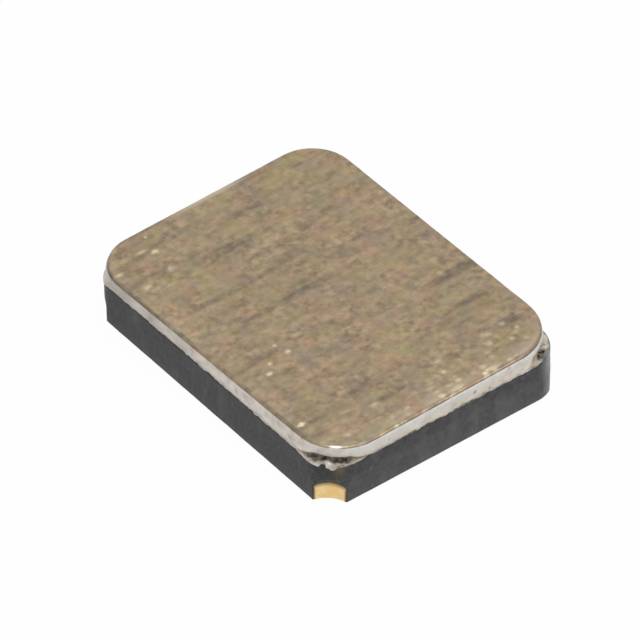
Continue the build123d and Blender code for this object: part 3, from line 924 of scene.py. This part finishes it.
lid = add_piece(
    "lid_plate", np.vstack(rings), shell_faces(len(rings), False), lid_finish,
    joined(masks), smooth_angle=50,
)
lid.location = Vector((*LID_SHIFT, 0)) * MM
lid.rotation_euler = (0, 0, LID_TURN)
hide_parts("lid")

# %% [markdown]
# ## Terminals
#
# Each corner has a gold-plated solder pad underneath, and plating that climbs the wall of the notch. The
# pad of the first terminal has its inner corner cut off as an index mark. Pad and plating are built in a
# frame that starts at the body's corner and points inward, and are then mirrored into place. The plating
# thins out at its upper border, which is uneven as fired metal paste is.

# %% Gold finish
GOLD = (0.82, 0.575, 0.235, 1)
GOLD_PALE = (0.87, 0.69, 0.39, 1)
GOLD_DULL = (0.17, 0.125, 0.075, 1)

gold_finish, tree, shader = start_finish("gold_terminal", 0.42, 0.85)
colour = tint(tree, grain(tree, 14, 0.42, 0.72, 3), GOLD, GOLD_PALE)
colour = tint(tree, times(tree, specks(tree, 30, 0.35, 0.10), 0.4), colour, GOLD_DULL)
colour = tint(tree, vertex_mask(tree, "thin"), colour, GOLD_DULL)
tree.links.new(colour, shader.inputs["Base Color"])
relief(tree, shader, grain(tree, 50, 0.2, 0.8, 3), 2)
print("finish:", gold_finish.name)

# %% Solder pads
PAD_LENGTH, PAD_WIDTH, PAD_INSET, PAD_THICK = 0.75, 0.65, 0.04, 0.010
PAD_ROUND, INDEX_CUT = 0.05, 0.14
BITE_POINTS, ROUND_POINTS = 15, 9
# Levels of the pad's outline, from the seating plane up, and its size there
PAD_LEVELS = ((0.0, 0.994), (0.003, 1.0), (PAD_THICK, 1.0))


def pad_outline(notch, aside, is_first):
    """Points round one solder pad, measured inward from the body's corner."""
    far_x, far_y = PAD_INSET + PAD_LENGTH, PAD_INSET + PAD_WIDTH
    bite_start = np.arccos((PAD_INSET - aside[0]) / notch)
    bite_end = np.arcsin((PAD_INSET - aside[1]) / notch)
    turn = np.linspace(bite_start, bite_end, BITE_POINTS)
    outline = [np.array(aside) + notch * np.array((cos(a), sin(a))) for a in turn]
    outline.append(np.array((far_x, PAD_INSET)))
    if is_first:
        outline += [np.array((far_x, far_y - INDEX_CUT)), np.array((far_x - INDEX_CUT, far_y))]
    else:
        middle = np.array((far_x - PAD_ROUND, far_y - PAD_ROUND))
        turn = np.linspace(0, pi / 2, ROUND_POINTS)
        outline += [middle + PAD_ROUND * np.array((cos(a), sin(a))) for a in turn]
    outline.append(np.array((PAD_INSET, far_y)))
    return np.array(outline)


def pad_mesh(notch, aside, is_first):
    """Points and faces of a pad with a softened lower edge."""
    outline = pad_outline(notch, aside, is_first)
    count, middle = len(outline), outline.mean(axis=0)
    points = []
    for level, shrink in PAD_LEVELS:
        points += [(*(middle + shrink * (p - middle)), level) for p in outline]
    faces = [list(range(count))[::-1], list(range(2 * count, 3 * count))]
    for low in (0, count):
        for i in range(count):
            j = (i + 1) % count
            faces.append([low + i, low + j, low + count + j, low + count + i])
    return points, faces


front_pad = pad_outline(NOTCH_REACH["front"][0], NOTCH_SHIFT["front"], False)
print("pad outline has", len(front_pad), "points")

# %% Plating in the notch
PLATING_FOOT, PLATING_TOP = 0.006, 0.141
WALL_STEPS, WALL_LEVELS = 44, 12


def plating_mesh(notch, aside, first_turn, last_turn, plating, start):
    """Points, faces and thinness of the curved plating on one notch wall."""
    points, faces, thin = [], [], []
    turn = np.linspace(radians(first_turn), radians(last_turn), WALL_STEPS + 1)
    for face in range(2):
        for step, angle in enumerate(turn):
            here = np.array((cos(angle), sin(angle), 0)) * notch
            ragged = 0.004 * noise.noise(Vector(here) * 30 + Vector((start, 0, 0)))
            ragged += 0.003 * noise.noise(Vector(here) * 90 + Vector((0, start, 0)))
            end = abs(2 * step / WALL_STEPS - 1)
            top = PLATING_TOP - 0.002 + ragged - 0.004 * end ** 6
            foot = PLATING_FOOT + 0.012 * end ** 2
            for k in range(WALL_LEVELS + 1):
                share = k / WALL_LEVELS
                thick = plating * (1 - 0.75 * share ** 4 - 0.25 * (k == 0))
                radius = notch - (thick if face == 0 else 0.0)
                flat = (aside[0] + radius * cos(angle), aside[1] + radius * sin(angle))
                points.append((*flat, foot + share * (top - foot)))
                thin.append(max(ramp(share, 0.76, 1), ramp(end, 0.88, 1)))
    size, tall = (WALL_STEPS + 1) * (WALL_LEVELS + 1), WALL_LEVELS + 1
    for i in range(WALL_STEPS):
        for k in range(WALL_LEVELS):
            a, b = i * tall + k, (i + 1) * tall + k
            faces += [[a, b, b + 1, a + 1], [size + a, size + a + 1, size + b + 1, size + b]]
        a, b = i * tall, (i + 1) * tall
        faces += [[a, size + a, size + b, b]]
        a, b = a + WALL_LEVELS, b + WALL_LEVELS
        faces += [[a, b, size + b, size + a]]
    for i, turned_round in ((0, False), (WALL_STEPS, True)):
        for k in range(WALL_LEVELS):
            a = i * tall + k
            end_face = [a, a + 1, size + a + 1, size + a]
            faces.append(end_face[::-1] if turned_round else end_face)
    return points, faces, thin


print("plating has", 2 * (WALL_STEPS + 1) * (WALL_LEVELS + 1), "points")

# %% The four terminals
# Each connection: its corner, where its plating starts and ends in degrees round the notch, how thick
TERMINALS = {
    "enable": ("left", 8, 82, 0.007),
    "ground": ("front", 1.5, 88.5, 0.012),
    "output": ("right", 24, 78, 0.003),
    "supply": ("rear", 6, 84, 0.012),
}

for number, (net, (corner, first_turn, last_turn, plating)) in enumerate(TERMINALS.items()):
    sx, sy = CORNER_SIGNS[corner]
    notch, aside = NOTCH_REACH[corner][0], NOTCH_SHIFT[corner]
    pad_points, pad_faces = pad_mesh(notch, aside, net == "enable")
    wall_points, wall_faces, thin = plating_mesh(
        notch, aside, first_turn, last_turn, plating, 7.0 + 3 * number,
    )
    shift = len(pad_points)
    faces = pad_faces + [[shift + i for i in face] for face in wall_faces]
    inward_points = np.array(pad_points + wall_points)
    place = np.column_stack((
        sx * (BODY_LENGTH / 2 - inward_points[:, 0]),
        sy * (BODY_WIDTH / 2 - inward_points[:, 1]),
        inward_points[:, 2],
    ))
    if sx * sy < 0:
        faces = [face[::-1] for face in faces]
    piece = add_piece(
        f"terminal_plating_{net}", place, faces, gold_finish,
        {"thin": np.concatenate((np.zeros(shift), thin))},
    )
    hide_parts(f"terminal_{net}")

# %% [markdown]
# ## Inner pieces
#
# The quartz plate, its film electrodes, the oscillator die and their connections are sealed inside, so
# they keep their CAD meshes. Each still gets a finish of its own, for anyone who takes the lid off.

# %% Finishes for the sealed pieces
# Each finish: its two tones, cells per mm, roughness, metal share, depth of relief in micrometres
INNER_LOOKS = {
    "gold_track": ((0.78, 0.54, 0.21), (0.62, 0.43, 0.18), 25, 0.40, 0.9, 2),
    "gold_bump": ((0.82, 0.57, 0.21), (0.70, 0.49, 0.20), 30, 0.30, 0.95, 1),
    "tungsten_fill": ((0.30, 0.29, 0.28), (0.20, 0.20, 0.19), 40, 0.7, 0.6, 2),
    "film_electrode": ((0.86, 0.63, 0.27), (0.80, 0.58, 0.25), 12, 0.15, 1.0, 0.3),
    "silver_adhesive": ((0.56, 0.55, 0.53), (0.40, 0.39, 0.38), 35, 0.55, 0.3, 3),
    "silicon": ((0.16, 0.17, 0.20), (0.22, 0.23, 0.26), 20, 0.22, 0.2, 0.5),
    "quartz": ((0.86, 0.89, 0.90), (0.80, 0.84, 0.86), 10, 0.25, 0.0, 0.4),
}
inner_finishes = {}
for name, (colour, other, cells, roughness, metallic, depth) in INNER_LOOKS.items():
    inner_finishes[name], tree, shader = start_finish(name, roughness, metallic)
    mixed = tint(tree, grain(tree, cells, 0.35, 0.7, 3), (*colour, 1), (*other, 1))
    tree.links.new(mixed, shader.inputs["Base Color"])
    relief(tree, shader, grain(tree, 3 * cells, 0.2, 0.8, 2), depth)
    if name == "quartz":
        shader.inputs["Transmission Weight"].default_value = 0.7
        shader.inputs["IOR"].default_value = 1.54

finished = 0
for row in frame["record"]["subparts"]:
    if row["material_slot"] in inner_finishes:
        node = frame["nodes"][row["node"]]
        node.data.materials.clear()
        node.data.materials.append(inner_finishes[row["material_slot"]])
        finished += 1
print("inner pieces finished:", finished)
